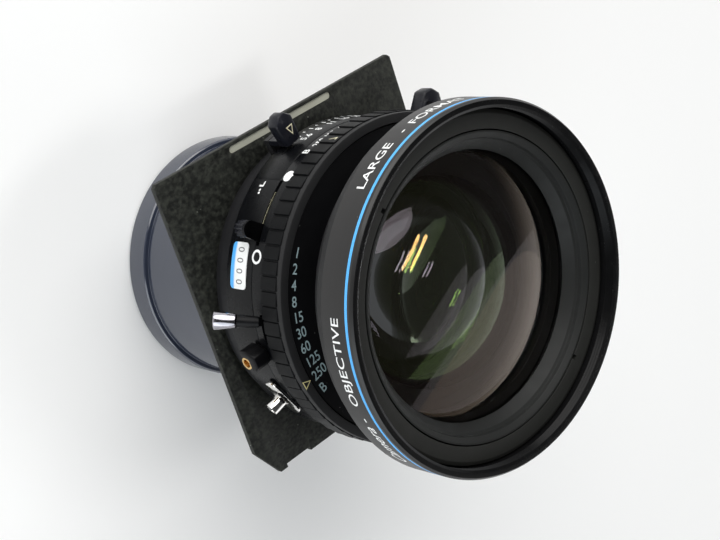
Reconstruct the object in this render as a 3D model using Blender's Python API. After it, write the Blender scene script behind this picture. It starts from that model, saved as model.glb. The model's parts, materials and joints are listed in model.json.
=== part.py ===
"""A large-format camera lens: two lens cells in a leaf shutter on a flat lens board.

The optical axis is vertical, the front of the lens is up, and the lens stands on the rim of its rear
cell. Sizes below are in millimetres and degrees. Heights are measured from the rear rim, radii from
the optical axis, and angles about that axis, from +X (along the board's top edge) towards +Y (up).
"""

import math

import bmesh
import bpy
from mathutils import Matrix, Vector

MM = 0.001
GAP = 0.3

# The optical axis stands off the centre of the bounding box, because the knobs stick out unevenly.
AXIS_X = 2.16
AXIS_Y = -1.91

# Lens board.
BOARD_WIDTH = 96.0
BOARD_TOP = 50.6
BOARD_BOTTOM = -48.4
BOARD_REAR = 50.2
BOARD_FRONT = 52.0
BOARD_HOLE_R = 32.6
SEAT_DEPTH = 0.2
FRONT_SEAT_R = 43.6
REAR_SEAT_R = 37.2
BOARD_CHAMFER_X = 6.4
BOARD_CHAMFER_Y = 10.2
BOARD_NOTCH = (28.9, 38.7, 1.2)

# Front cell.
FRONT = 122.8
RIM_R = 52.5
RIM_REAR = 110.9
RIM_BORE_R = 50.0
NECK_R = 27.2
NECK_BORE_R = 24.5
RING_FRONT = 118.3

# Rear cell.
FLANGE_R = 39.0
FLANGE_FRONT = 8.6
REAR_BARREL_R = 37.4
REAR_BARREL_FRONT = 45.2

# Shutter.
CASE_R = 46.6
CASE_BORE_R = 44.2
CASE_REAR = 61.4
CASE_FRONT = 79.9
CASE_FLOOR = 1.8
TUBE_R = 32.2
TUBE_BORE_R = 27.5
FACE_FRONT = 88.2
FACE_REAR = 85.6
FACE_R = 45.1
RING_R = 48.6
RING_REAR = 80.2
RING_TOP = 88.7
RING_BORE_R = 45.5
GROOVES = 72
GROOVE_PHASE = 1.9
GROOVE_DEPTH = 0.5
GROOVE_WIDTH_DEG = 0.7

# Shutter blades and diaphragm leaves. Each lies in a layer of its own.
APERTURE_R = 23.4
LEAF_PIVOT_R = 40.0
LEAF_OUTER_R = 38.0
LEAF_LOBE_R = 2.2
LEAF_PIN_R = 0.8
LEAF_SPAN = 128.0
LEAF_THICKNESS = 0.3
LAYER = 0.6
BLADES = 5
LEAVES = 7
BLADE_START = CASE_REAR + CASE_FLOOR + 0.8
SEPARATOR_REAR = BLADE_START + BLADES * LAYER + 0.1
LEAF_START = SEPARATOR_REAR + 1.0
MECHANISM_PLATE_REAR = LEAF_START + LEAVES * LAYER + 0.1

# Levers and knobs: angle on the case, and height of their plates.
FOCUS_ANGLE = 138.0
FOCUS_REAR = 74.2
FOCUS_FRONT = 75.0
FOCUS_KNOB_DISTANCE = 50.2
COCKING_ANGLE = 44.5
COCKING_REAR = 75.7
COCKING_FRONT = 76.5
RELEASE_PIVOT_R = 35.5
RELEASE_PIVOT_ANGLE = 173.0
RELEASE_LEAN = 19.0
RELEASE_REAR = 77.0
RELEASE_FRONT = 77.8
APERTURE_ANGLE = 101.0
BOSS_ANGLE = 180.6
SYNC_ANGLE = 200.9
SYNC_HEIGHT = 71.7
SYNC_TILT = 12.0
SYNC_LEAN = 12.0

# Colour, roughness and metallic of each finish.
FINISHES = {
    "satin_black": ((0.025, 0.026, 0.028), 0.42, 0.0),
    "matte_black": ((0.012, 0.012, 0.013), 0.75, 0.0),
    "crackle_black": ((0.020, 0.021, 0.019), 0.80, 0.0),
    "blackened_steel": ((0.045, 0.047, 0.050), 0.38, 1.0),
    "chrome": ((0.75, 0.75, 0.76), 0.12, 1.0),
    "steel": ((0.55, 0.55, 0.56), 0.30, 1.0),
    "brass": ((0.72, 0.52, 0.22), 0.28, 1.0),
    "glass": ((0.90, 0.93, 0.92), 0.02, 0.0),
    "label": ((0.85, 0.86, 0.86), 0.50, 0.0),
}


def clear_scene():
    for obj in list(bpy.data.objects):
        bpy.data.objects.remove(obj, do_unlink=True)


def point(angle, radius):
    """The point at this angle and radius, as (x, y)."""
    turn = math.radians(angle)
    return radius * math.cos(turn), radius * math.sin(turn)


def arc(radius, start, end, steps, centre=(0.0, 0.0)):
    """Points along an arc, both ends included."""
    angles = [start + (end - start) * i / steps for i in range(steps + 1)]
    return [(centre[0] + x, centre[1] + y) for x, y in (point(a, radius) for a in angles)]


def add_material(obj, finish):
    colour, roughness, metallic = FINISHES[finish]
    mat = bpy.data.materials.new(obj.name)
    mat.use_nodes = True
    shader = mat.node_tree.nodes["Principled BSDF"]
    shader.inputs["Base Color"].default_value = (*colour, 1.0)
    shader.inputs["Roughness"].default_value = roughness
    shader.inputs["Metallic"].default_value = metallic
    if finish == "glass":
        shader.inputs["Transmission Weight"].default_value = 1.0
    obj.data.materials.append(mat)


def add_object(name, bm, finish=None):
    """An object from a bmesh in millimetres. One with no finish is a cutter or a helper."""
    bmesh.ops.remove_doubles(bm, verts=bm.verts, dist=1e-4)
    bmesh.ops.recalc_face_normals(bm, faces=bm.faces)
    bmesh.ops.scale(bm, vec=(MM, MM, MM), verts=bm.verts)
    mesh = bpy.data.meshes.new(name)
    bm.to_mesh(mesh)
    bm.free()
    obj = bpy.data.objects.new(name, mesh)
    bpy.context.collection.objects.link(obj)
    obj.parent = bpy.data.objects["optical_axis"]
    if finish:
        mesh.shade_smooth()
        mesh.set_sharp_from_angle(angle=math.radians(30))
        add_material(obj, finish)
    else:
        obj.hide_render = True
        obj.display_type = "WIRE"
    return obj


def turned_bmesh(outline, segments):
    """A closed outline of (radius, height) points spun about the optical axis."""
    bm = bmesh.new()
    verts = [bm.verts.new((radius, 0.0, height)) for radius, height in outline]
    edges = []
    for first, second in zip(verts, verts[1:] + verts[:1]):
        if first.co.x or second.co.x:
            edges.append(bm.edges.new((first, second)))
    bmesh.ops.spin(
        bm,
        geom=verts + edges,
        cent=(0, 0, 0),
        axis=(0, 0, 1),
        angle=math.tau,
        steps=segments,
        use_merge=True,
    )
    return bm


def turned(name, outline, finish=None, segments=40):
    return add_object(name, turned_bmesh(outline, segments), finish)


def prism_bmesh(outline, low, high):
    """A polygon of (x, y) points extruded from one height to another."""
    bm = bmesh.new()
    face = bm.faces.new([bm.verts.new((x, y, low)) for x, y in outline])
    top = bmesh.ops.extrude_face_region(bm, geom=[face])["geom"]
    verts = [item for item in top if isinstance(item, bmesh.types.BMVert)]
    bmesh.ops.translate(bm, vec=(0, 0, high - low), verts=verts)
    return bm


def prism(name, outline, low, high, finish=None):
    return add_object(name, prism_bmesh(outline, low, high), finish)


def combine(obj, other, operation):
    modifier = obj.modifiers.new(f"{operation.lower()} {other.name}", "BOOLEAN")
    modifier.object = other
    modifier.operation = operation


def box_bmesh(low, high):
    bm = bmesh.new()
    bmesh.ops.create_cube(bm, size=1.0)
    size = Vector(high) - Vector(low)
    bmesh.ops.scale(bm, vec=size, verts=bm.verts)
    bmesh.ops.translate(bm, vec=(Vector(high) + Vector(low)) / 2, verts=bm.verts)
    return bm


def radial_cylinder(name, radius, start, end, angle, height, finish=None, segments=20):
    """A cylinder that points outwards from the optical axis."""
    bm = bmesh.new()
    bmesh.ops.create_cone(
        bm,
        cap_ends=True,
        segments=segments,
        radius1=radius,
        radius2=radius,
        depth=end - start,
    )
    lie_down = Matrix.Rotation(math.radians(90), 4, "Y")
    centre = Matrix.Translation(((start + end) / 2, 0, height))
    turn = Matrix.Rotation(math.radians(angle), 4, "Z")
    bmesh.ops.transform(bm, matrix=turn @ centre @ lie_down, verts=bm.verts)
    return add_object(name, bm, finish)


def radial_prism_bmesh(outline, near, far, angle):
    """A polygon of (distance round the case, height) points extruded outwards between two radii."""
    bm = prism_bmesh(outline, near, far)
    stand = Matrix(((0, 0, 1), (1, 0, 0), (0, 1, 0)))
    bmesh.ops.rotate(bm, cent=(0, 0, 0), matrix=stand, verts=bm.verts)
    turn_about_axis(bm, angle)
    return bm


def washer_sector(name, inner, outer, low, high, start, end, finish=None, steps=24):
    """A plate or a shell between two radii and two angles."""
    outline = arc(outer, start, end, steps) + arc(inner, end, start, steps)
    return prism(name, outline, low, high, finish)


def turn_about_axis(bm, angle):
    turn = Matrix.Rotation(math.radians(angle), 3, "Z")
    bmesh.ops.rotate(bm, cent=(0, 0, 0), matrix=turn, verts=bm.verts)


def set_origin(obj, position):
    """Moves the object's origin to a point given in millimetres, and leaves its mesh in place."""
    offset = Vector(position) * MM
    obj.data.transform(Matrix.Translation(-offset))
    obj.location = offset


def bevel_edges(obj, width, segments=2):
    modifier = obj.modifiers.new("bevel", "BEVEL")
    modifier.width = width * MM
    modifier.segments = segments
    modifier.limit_method = "ANGLE"
    modifier.angle_limit = math.radians(40)


def lens_element(name, edge_r, front, rear, seat_r=None):
    """A glass element. Each surface is (curvature radius, height of its middle).

    A positive curvature radius bulges upwards. The rear surface may end at a flat seat.
    """
    steps = 4
    seat_r = seat_r or edge_r

    def height(surface, r):
        curvature, middle = surface
        sag = abs(curvature) - math.sqrt(curvature**2 - r**2)
        return middle - math.copysign(sag, curvature)

    outline = [(edge_r * i / steps, height(front, edge_r * i / steps)) for i in range(steps + 1)]
    if seat_r < edge_r:
        outline.append((edge_r, height(rear, seat_r)))
    rear_side = [(seat_r * i / steps, height(rear, seat_r * i / steps)) for i in range(steps + 1)]
    outline += reversed(rear_side)
    return turned(name, outline, "glass", segments=24)


def build_board():
    half = BOARD_WIDTH / 2
    notch_in, notch_out, notch_depth = BOARD_NOTCH
    right_side = [
        (notch_in, BOARD_BOTTOM),
        (notch_in, BOARD_BOTTOM + notch_depth),
        (notch_out, BOARD_BOTTOM + notch_depth),
        (notch_out, BOARD_BOTTOM),
        (half - BOARD_CHAMFER_X, BOARD_BOTTOM),
        (half, BOARD_BOTTOM + BOARD_CHAMFER_Y),
        (half, BOARD_TOP - 1.0),
        (half - 1.0, BOARD_TOP),
    ]
    left_side = [(-x, y) for x, y in reversed(right_side)]
    board = prism("lens_board", right_side + left_side, BOARD_REAR, BOARD_FRONT, "crackle_black")
    hole = turned(
        "board_hole_cutter",
        [
            (0, 45),
            (REAR_SEAT_R, 45),
            (REAR_SEAT_R, BOARD_REAR + SEAT_DEPTH),
            (BOARD_HOLE_R, BOARD_REAR + SEAT_DEPTH),
            (BOARD_HOLE_R, BOARD_FRONT - SEAT_DEPTH),
            (FRONT_SEAT_R, BOARD_FRONT - SEAT_DEPTH),
            (FRONT_SEAT_R, 57),
            (0, 57),
        ],
    )
    combine(board, hole, "DIFFERENCE")
    groove_y, groove_half, groove_r = 48.5, 20.0, 1.1
    ends = arc(groove_r, -90, 90, 6, (groove_half, groove_y))
    ends += arc(groove_r, 90, 270, 6, (1.0 - groove_half, groove_y))
    groove = prism("board_groove_cutter", ends, BOARD_FRONT - 0.6, BOARD_FRONT + 2)
    combine(board, groove, "DIFFERENCE")

    ring = turned(
        "mounting_ring",
        [(32.5, 45.6), (36.5, 45.6), (36.5, 49.9), (32.5, 49.9)],
        "satin_black",
    )
    for turn in (0, 90, 180, 270):
        slot = box_bmesh((31, -1.5, 44), (38, 1.5, 47))
        turn_about_axis(slot, turn)
        combine(ring, add_object(f"ring_slot_cutter_{turn}", slot), "DIFFERENCE")


def build_front_cell():
    turned(
        "front_rim",
        [
            (RIM_R, RIM_REAR),
            (RIM_R, FRONT - 1.0),
            (RIM_R - 0.8, FRONT),
            (RIM_BORE_R + 0.2, FRONT),
            (RIM_BORE_R - 0.3, FRONT - 0.5),
            (RIM_BORE_R, RIM_REAR),
        ],
        "satin_black",
        segments=60,
    )
    turned(
        "front_barrel",
        [
            (NECK_BORE_R, 74.6),
            (NECK_R, 74.6),
            (NECK_R, 88.5),
            (35.0, 88.5),
            (35.0, 91.0),
            (38.5, 93.5),
            (43.8, 98.0),
            (49.8, 106.0),
            (50.8, 110.6),
            (49.6, 110.6),
            (49.6, 115.1),
            (44.0, 115.1),
            (44.0, 110.8),
            (40.8, 110.8),
            (40.8, 99.0),
            (35.3, 99.0),
            (35.3, 92.4),
            (27.4, 92.4),
            (27.4, 89.1),
            (NECK_BORE_R, 89.1),
        ],
        "satin_black",
    )
    ring = turned(
        "front_retaining_ring",
        [(43.9, 115.4), (49.3, 115.4), (49.3, RING_FRONT), (43.9, RING_FRONT)],
        "matte_black",
    )
    for turn in (135, 315):
        slot = box_bmesh((43.0, -1.2, RING_FRONT - 1.2), (45.6, 1.2, RING_FRONT + 1))
        turn_about_axis(slot, turn)
        combine(ring, add_object(f"spanner_slot_cutter_{turn}", slot), "DIFFERENCE")
    turned(
        "front_baffle_ring",
        [(38.1, 112.6), (40.5, 111.5), (43.5, 111.5), (43.5, RING_FRONT), (43.1, RING_FRONT)],
        "matte_black",
    )
    lens_element("front_element_1", 40.4, (105.0, 119.2), (150.0, 108.5))
    turned("front_spacer", [(36.0, 99.3), (40.5, 99.3), (40.5, 102.0), (36.0, 102.9)], "matte_black", 24)
    lens_element("front_element_2", 35.0, (58.0, 107.4), (40.0, 103.3), seat_r=27.0)
    lens_element("front_element_3", 27.0, (60.0, 98.5), (-80.0, 85.6))


def build_rear_cell():
    turned(
        "rear_barrel",
        [
            (36.4, 0.0),
            (FLANGE_R - 0.5, 0.0),
            (FLANGE_R, 0.5),
            (FLANGE_R, FLANGE_FRONT - 0.4),
            (FLANGE_R - 0.4, FLANGE_FRONT),
            (REAR_BARREL_R, FLANGE_FRONT),
            (REAR_BARREL_R, REAR_BARREL_FRONT),
            (NECK_R, REAR_BARREL_FRONT),
            (NECK_R, 60.8),
            (NECK_BORE_R, 60.8),
            (NECK_BORE_R, 39.0),
            (27.4, 39.0),
            (27.4, 35.8),
            (33.3, 35.8),
            (33.3, 19.0),
            (35.3, 19.0),
            (35.3, 8.6),
            (36.4, 8.6),
        ],
        "satin_black",
    )
    lens_element("rear_element_1", 27.0, (60.0, 43.9), (-80.0, 31.2))
    lens_element_flipped("rear_element_2", 33.0, (-40.0, 25.0), (-58.0, 20.2), seat_r=27.0)
    turned("rear_spacer", [(31.0, 18.6), (33.0, 18.9), (33.0, 28.5), (31.0, 28.5)], "matte_black", 24)
    lens_element("rear_element_3", 34.9, (-140.0, 14.0), (-110.0, 4.7))
    turned(
        "rear_retaining_ring",
        [(33.0, 4.2), (36.1, 4.2), (36.1, 8.3), (35.0, 8.3), (34.2, 9.2), (33.0, 9.0)],
        "matte_black",
        24,
    )


def lens_element_flipped(name, edge_r, front, rear, seat_r):
    """A glass element whose front surface is the one that ends at a flat seat."""
    steps = 4

    def height(surface, r):
        curvature, middle = surface
        return middle + abs(curvature) - math.sqrt(curvature**2 - r**2)

    outline = [(seat_r * i / steps, height(front, seat_r * i / steps)) for i in range(steps + 1)]
    outline.append((edge_r, height(front, seat_r)))
    rear_side = [(edge_r * i / steps, height(rear, edge_r * i / steps)) for i in range(steps + 1)]
    outline += reversed(rear_side)
    return turned(name, outline, "glass", segments=24)


def build_shutter_body():
    turned(
        "shutter_base",
        [
            (TUBE_BORE_R, 45.9),
            (TUBE_R, 45.9),
            (TUBE_R, BOARD_FRONT + GAP),
            (43.0, BOARD_FRONT + GAP),
            (43.0, 55.6),
            (40.0, 55.6),
            (40.0, CASE_REAR - GAP),
            (TUBE_BORE_R, CASE_REAR - GAP),
        ],
        "satin_black",
    )
    case = turned(
        "shutter_case",
        [
            (TUBE_BORE_R - 2, CASE_REAR),
            (CASE_R - 0.6, CASE_REAR),
            (CASE_R, CASE_REAR + 0.6),
            (CASE_R, CASE_FRONT),
            (CASE_BORE_R, CASE_FRONT),
            (CASE_BORE_R, CASE_REAR + CASE_FLOOR),
            (TUBE_BORE_R - 2, CASE_REAR + CASE_FLOOR),
        ],
        "satin_black",
        segments=60,
    )
    slots = {
        "focus": (118.0, 142.5, FOCUS_REAR - 0.3, FOCUS_FRONT + 0.3),
        "cocking": (0.0, 50.0, COCKING_REAR - 0.4, COCKING_FRONT + 0.4),
        "release": (166.0, 177.0, RELEASE_REAR - 0.4, RELEASE_FRONT + 0.4),
    }
    for name, (start, end, low, high) in slots.items():
        cutter = washer_sector(f"{name}_slot_cutter", 42, 50, low, high, start, end, steps=12)
        combine(case, cutter, "DIFFERENCE")

    turned(
        "speed_face_plate",
        [
            (TUBE_BORE_R, 74.0),
            (31.0, 74.0),
            (31.0, FACE_REAR),
            (FACE_R, FACE_REAR),
            (FACE_R, FACE_FRONT),
            (TUBE_BORE_R, FACE_FRONT),
        ],
        "matte_black",
        segments=48,
    )
    washer_sector("aperture_scale_plate", CASE_R + 0.15, CASE_R + 0.5, 62.2, 73.6, 52, 118, "satin_black")
    turned(
        "blade_separator",
        [
            (APERTURE_R, SEPARATOR_REAR),
            (43.9, SEPARATOR_REAR),
            (43.9, SEPARATOR_REAR + 0.5),
            (APERTURE_R, SEPARATOR_REAR + 0.5),
        ],
        "blackened_steel",
        24,
    )
    turned(
        "mechanism_plate",
        [
            (APERTURE_R + 1, MECHANISM_PLATE_REAR),
            (43.9, MECHANISM_PLATE_REAR),
            (43.9, MECHANISM_PLATE_REAR + 0.6),
            (APERTURE_R + 1, MECHANISM_PLATE_REAR + 0.6),
        ],
        "blackened_steel",
        24,
    )


def build_speed_ring():
    """The speed ring, with one narrow groove for each few degrees of its edge."""
    pitch = 360 / GROOVES
    corners = []
    for i in range(GROOVES):
        middle = GROOVE_PHASE + i * pitch
        corners.append((middle - GROOVE_WIDTH_DEG / 2, RING_R))
        corners.append((middle, RING_R - GROOVE_DEPTH))
        corners.append((middle + GROOVE_WIDTH_DEG / 2, RING_R))
    bm = bmesh.new()
    columns = []
    for angle, outer in corners:
        profile = [
            (RING_BORE_R, RING_REAR),
            (outer, RING_REAR),
            (outer, RING_TOP - 0.5),
            (outer - 0.5, RING_TOP),
            (RING_BORE_R, RING_TOP),
        ]
        columns.append([bm.verts.new((*point(angle, r), z)) for r, z in profile])
    for near, far in zip(columns, columns[1:] + columns[:1]):
        for i in range(len(near)):
            bm.faces.new((near[i - 1], far[i - 1], far[i], near[i]))
    ring = add_object("speed_ring", bm, "satin_black")
    turned(
        "speed_cam",
        [
            (33.0, 81.0),
            (45.1, 81.0),
            (45.1, 81.8),
            (33.0, 81.8),
        ],
        "blackened_steel",
        24,
    )
    return ring


def leaf_outline():
    """One blade, with its pivot pin at (LEAF_PIVOT_R, 0) and its edge on the open aperture."""
    pivot = (LEAF_PIVOT_R, 0.0)
    outline = arc(LEAF_LOBE_R, 115, -75, 4, pivot)
    outline += arc(LEAF_OUTER_R, -4, -(LEAF_SPAN - 22), 9)
    outline.append(point(-(LEAF_SPAN - 8), (LEAF_OUTER_R + APERTURE_R) / 2 + 1.5))
    outline += arc(APERTURE_R + 0.4, -LEAF_SPAN, 4, 11)
    return outline


def build_leaves(name, count, first_layer, floor, first_angle):
    for i in range(count):
        low = first_layer + i * LAYER
        leaf = prism(f"{name}_{i + 1}", leaf_outline(), low, low + LEAF_THICKNESS, "blackened_steel")
        pin_outline = arc(LEAF_PIN_R, 0, 315, 7, (LEAF_PIVOT_R, 0.0))
        pin = prism(f"{name}_pin_{i + 1}", pin_outline, floor, low + LEAF_THICKNESS / 2)
        set_origin(leaf, (LEAF_PIVOT_R, 0, 0))
        set_origin(pin, (LEAF_PIVOT_R, 0, 0))
        angle = first_angle + i * 360 / count
        for obj in (leaf, pin):
            obj.location = Vector((*point(angle, LEAF_PIVOT_R), 0)) * MM
            obj.rotation_euler.z = math.radians(angle)
        combine(leaf, pin, "UNION")


def ring_with_arm(name, arm_outline, arm_angle, low, high):
    """A flat ring inside the case, whose arm reaches out through a slot."""
    inner, outer = 38.0, 43.9
    outline = [(inner, low), (outer, low), (outer, high), (inner, high)]
    ring = turned(name, outline, "blackened_steel", 24)
    arm = prism_bmesh(arm_outline, low, high)
    turn_about_axis(arm, arm_angle)
    combine(ring, add_object(f"{name}_arm", arm), "UNION")
    return ring


def knob_block(name, angle, inner, outer, half_width, low, high, corner, finish="satin_black"):
    """A chunky finger tab with chamfered outer corners, standing on the edge of the case."""
    outline = [
        (inner, -half_width + 0.6),
        (outer - corner, -half_width),
        (outer, -half_width + corner),
        (outer, half_width - corner),
        (outer - corner, half_width),
        (inner, half_width - 0.6),
    ]
    bm = prism_bmesh(outline, low, high)
    turn_about_axis(bm, angle)
    knob = add_object(name, bm, finish)
    bevel_edges(knob, 0.7)
    return knob


def build_aperture_control():
    ring = turned(
        "aperture_ring",
        [(40.4, 56.0), (44.4, 56.0), (44.4, 60.9), (40.4, 60.9)],
        "satin_black",
    )
    arm = box_bmesh((42.0, -2.0, 57.2), (49.2, 2.0, 59.2))
    turn_about_axis(arm, APERTURE_ANGLE)
    combine(ring, add_object("aperture_arm", arm), "UNION")
    knob = knob_block("aperture_knob", APERTURE_ANGLE, 47.6, 57.3, 3.3, 64.4, 68.9, 2.2)
    leg = box_bmesh((47.6, -2.0, 59.5), (49.2, 2.0, 65.4))
    turn_about_axis(leg, APERTURE_ANGLE)
    combine(knob, add_object("aperture_knob_leg", leg), "UNION")


def build_press_focus():
    """The ring that opens the blades for focusing, its finger plate and its knurled knob."""
    knob_r, knob_distance = 2.5, FOCUS_KNOB_DISTANCE
    plate = [(42.0, -2.6), (46.0, -2.6)] + arc(knob_r, -75, 75, 8, (knob_distance, 0))
    plate += [(46.0, 2.6), (42.0, 2.6)]
    ring_with_arm("blade_ring", plate, FOCUS_ANGLE, FOCUS_REAR, FOCUS_FRONT)
    ribs, rib_depth = 14, 0.35
    outline = []
    for i in range(ribs):
        outline.append(point(i * 360 / ribs, knob_r))
        outline.append(point((i + 0.5) * 360 / ribs, knob_r - rib_depth))
    bm = prism_bmesh(outline, FOCUS_REAR - GAP - 3.6, FOCUS_REAR - GAP)
    bmesh.ops.translate(bm, vec=(*point(FOCUS_ANGLE, knob_distance), 0), verts=bm.verts)
    add_object("press_focus_knob", bm, "satin_black")


def build_cocking_lever():
    plate = [(42.0, -2.2), (54.0, -2.2), (54.0, 2.2), (42.0, 2.2)]
    ring_with_arm("cocking_ring", plate, COCKING_ANGLE, COCKING_REAR, COCKING_FRONT)
    knob_block("cocking_knob", COCKING_ANGLE, 48.6, 58.6, 4.1, 70.4, COCKING_REAR - GAP, 2.4)


def build_release_lever():
    """A pivoted lever: a flat plate inside the case, then a stalk that leans back to a bright cap."""
    pivot = Vector((*point(RELEASE_PIVOT_ANGLE, RELEASE_PIVOT_R), 0))
    direction = RELEASE_PIVOT_ANGLE - RELEASE_LEAN
    turn = Matrix.Rotation(math.radians(direction), 4, "Z")
    place = Matrix.Translation(pivot) @ turn
    plate_outline = arc(2.6, 60, 300, 10) + [(6.0, -1.2), (14.2, -1.2), (14.2, 1.2), (6.0, 1.2)]
    bm = prism_bmesh(plate_outline, RELEASE_REAR, RELEASE_FRONT)
    bmesh.ops.transform(bm, matrix=place, verts=bm.verts)
    lever = add_object("release_lever", bm, "blackened_steel")
    start = Vector((13.2, 0, (RELEASE_REAR + RELEASE_FRONT) / 2))
    lean = Vector((1.0, 0, -1.02)).normalized()
    tilt = Vector((0, 0, 1)).rotation_difference(lean).to_matrix().to_4x4()

    def stalk(name, near, far, near_r, far_r, finish=None):
        cone = bmesh.new()
        bmesh.ops.create_cone(
            cone,
            cap_ends=True,
            segments=20,
            radius1=near_r,
            radius2=far_r,
            depth=far - near,
        )
        middle = Matrix.Translation(start + lean * (near + far) / 2)
        bmesh.ops.transform(cone, matrix=place @ middle @ tilt, verts=cone.verts)
        return add_object(name, cone, finish)

    combine(lever, stalk("release_stalk", -0.4, 5.6, 1.5, 1.9), "UNION")
    set_origin(lever, pivot)
    cap = stalk("release_cap", 5.9, 12.2, 2.0, 2.8, "chrome")
    bevel_edges(cap, 0.3)
    set_origin(cap, pivot)
    post = turned("release_post", [(0, 74.0), (1.2, 74.0), (1.2, 79.6), (0, 79.6)], "steel", 12)
    post.location = pivot * MM
    hole = turned("release_post_cutter", [(0, 76), (1.5, 76), (1.5, 79), (0, 79)], None, 12)
    hole.location = pivot * MM
    combine(lever, hole, "DIFFERENCE")


def build_sockets():
    """The cable release boss with its threaded socket, and the flash socket on its oval flange."""
    boss_outline = [
        (-3.3, 70.6),
        (-3.3, 73.8),
        (-1.7, 76.8),
        (1.7, 77.0),
        (3.2, 75.0),
        (3.0, 74.0),
        (-0.6, 73.7),
        (-1.4, 70.6),
    ]
    boss = add_object(
        "cable_release_boss",
        radial_prism_bmesh(boss_outline, CASE_R + GAP, 52.2, BOSS_ANGLE),
        "satin_black",
    )
    bevel_edges(boss, 0.35, 1)
    socket_turn = BOSS_ANGLE + math.degrees(1.0 / 50)
    socket = radial_cylinder("cable_release_socket", 1.9, CASE_R + GAP, 51.6, socket_turn, 71.6, "brass")
    bore = radial_cylinder("socket_cutter", 1.3, 48.0, 60, socket_turn, 71.6)
    combine(socket, bore, "DIFFERENCE")

    length, width, thickness = 6.6, 2.7, 0.8
    oval = arc(width, -90, 90, 8, (length - width, 0)) + arc(width, 90, 270, 8, (width - length, 0))
    tilt = math.radians(SYNC_TILT)
    oval = [
        (x * math.cos(tilt) - y * math.sin(tilt), SYNC_HEIGHT + x * math.sin(tilt) + y * math.cos(tilt))
        for x, y in oval
    ]
    flange = add_object(
        "sync_flange",
        radial_prism_bmesh(oval, CASE_R + GAP, CASE_R + GAP + thickness, SYNC_ANGLE),
        "chrome",
    )
    start = Vector((*point(SYNC_ANGLE, CASE_R + GAP), SYNC_HEIGHT))
    tube_parts = {
        "sync_socket": (2.0, 1.1, 5.4, "chrome", 20),
        "sync_flange_cutter": (2.3, -3.0, 9.0, None, 20),
        "sync_cutter": (1.4, 3.0, 9.0, None, 16),
        "sync_contact": (0.4, 3.3, 5.0, "brass", 8),
    }
    lean = Matrix.Rotation(math.radians(SYNC_LEAN), 4, "Y")
    turn = Matrix.Rotation(math.radians(SYNC_ANGLE), 4, "Z")
    lie_down = Matrix.Rotation(math.radians(90), 4, "Y")
    made = {}
    for name, (radius, near, far, finish, segments) in tube_parts.items():
        bm = bmesh.new()
        bmesh.ops.create_cone(
            bm,
            cap_ends=True,
            segments=segments,
            radius1=radius,
            radius2=radius,
            depth=far - near,
        )
        along = Matrix.Translation(((near + far) / 2, 0, 0))
        place = Matrix.Translation(start) @ turn @ lean @ along @ lie_down
        bmesh.ops.transform(bm, matrix=place, verts=bm.verts)
        made[name] = add_object(name, bm, finish)
    combine(flange, made["sync_flange_cutter"], "DIFFERENCE")
    combine(made["sync_socket"], made["sync_cutter"], "DIFFERENCE")


def gear_bmesh(radius, teeth, tooth, low, high):
    """A spur gear whose narrow teeth leave room for play."""
    outline = []
    pitch = 360 / teeth
    for i in range(teeth):
        for offset, r in ((-0.32, -tooth), (-0.14, tooth), (0.14, tooth), (0.32, -tooth)):
            outline.append(point((i + offset) * pitch, radius + r))
    bm = prism_bmesh(outline, low, high)
    return bm


def build_retard_gears():
    """Two gears of the train that slows the blades."""
    low, high, tooth = 77.2, 78.8, 0.45
    large, small = (4.0, 20), (2.4, 12)
    spacing = large[0] + small[0] + 0.25
    first_angle = 262.0
    first = Vector((*point(first_angle, 38.2), 0))
    second_turn = first_angle + math.degrees(spacing / 38.2)
    second = Vector((*point(second_turn, 38.2), 0))
    towards = math.degrees(math.atan2(second.y - first.y, second.x - first.x))
    for name, centre, (radius, teeth), phase in (
        ("retard_gear_1", first, large, towards),
        ("retard_gear_2", second, small, towards + 180 + 180 / small[1]),
    ):
        bm = gear_bmesh(radius, teeth, tooth, low, high)
        gear = add_object(name, bm, "brass")
        gear.location = centre * MM
        gear.rotation_euler.z = math.radians(phase)


def build_label():
    washer_sector("number_label", CASE_R + 0.15, CASE_R + 0.35, 62.9, 72.4, 142.2, 158.6, "label", 8)


def main():
    clear_scene()
    axis = bpy.data.objects.new("optical_axis", None)
    axis.location = (AXIS_X * MM, AXIS_Y * MM, 0)
    bpy.context.collection.objects.link(axis)
    build_board()
    build_front_cell()
    build_rear_cell()
    build_shutter_body()
    build_speed_ring()
    build_leaves("shutter_blade", BLADES, BLADE_START, CASE_REAR + CASE_FLOOR + GAP, 20.0)
    build_leaves("diaphragm_leaf", LEAVES, LEAF_START, SEPARATOR_REAR + 0.5 + GAP, 8.0)
    build_aperture_control()
    build_press_focus()
    build_cocking_lever()
    build_release_lever()
    build_sockets()
    build_retard_gears()
    build_label()


main()
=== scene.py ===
"""The looks of a large-format lens in a leaf shutter on a lens board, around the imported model.

Shapes are in millimetres about the optical axis, and are put in place in metres by add_piece.
"""

import json
import math

import bmesh
import bpy
from mathutils import Matrix, Vector

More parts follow.
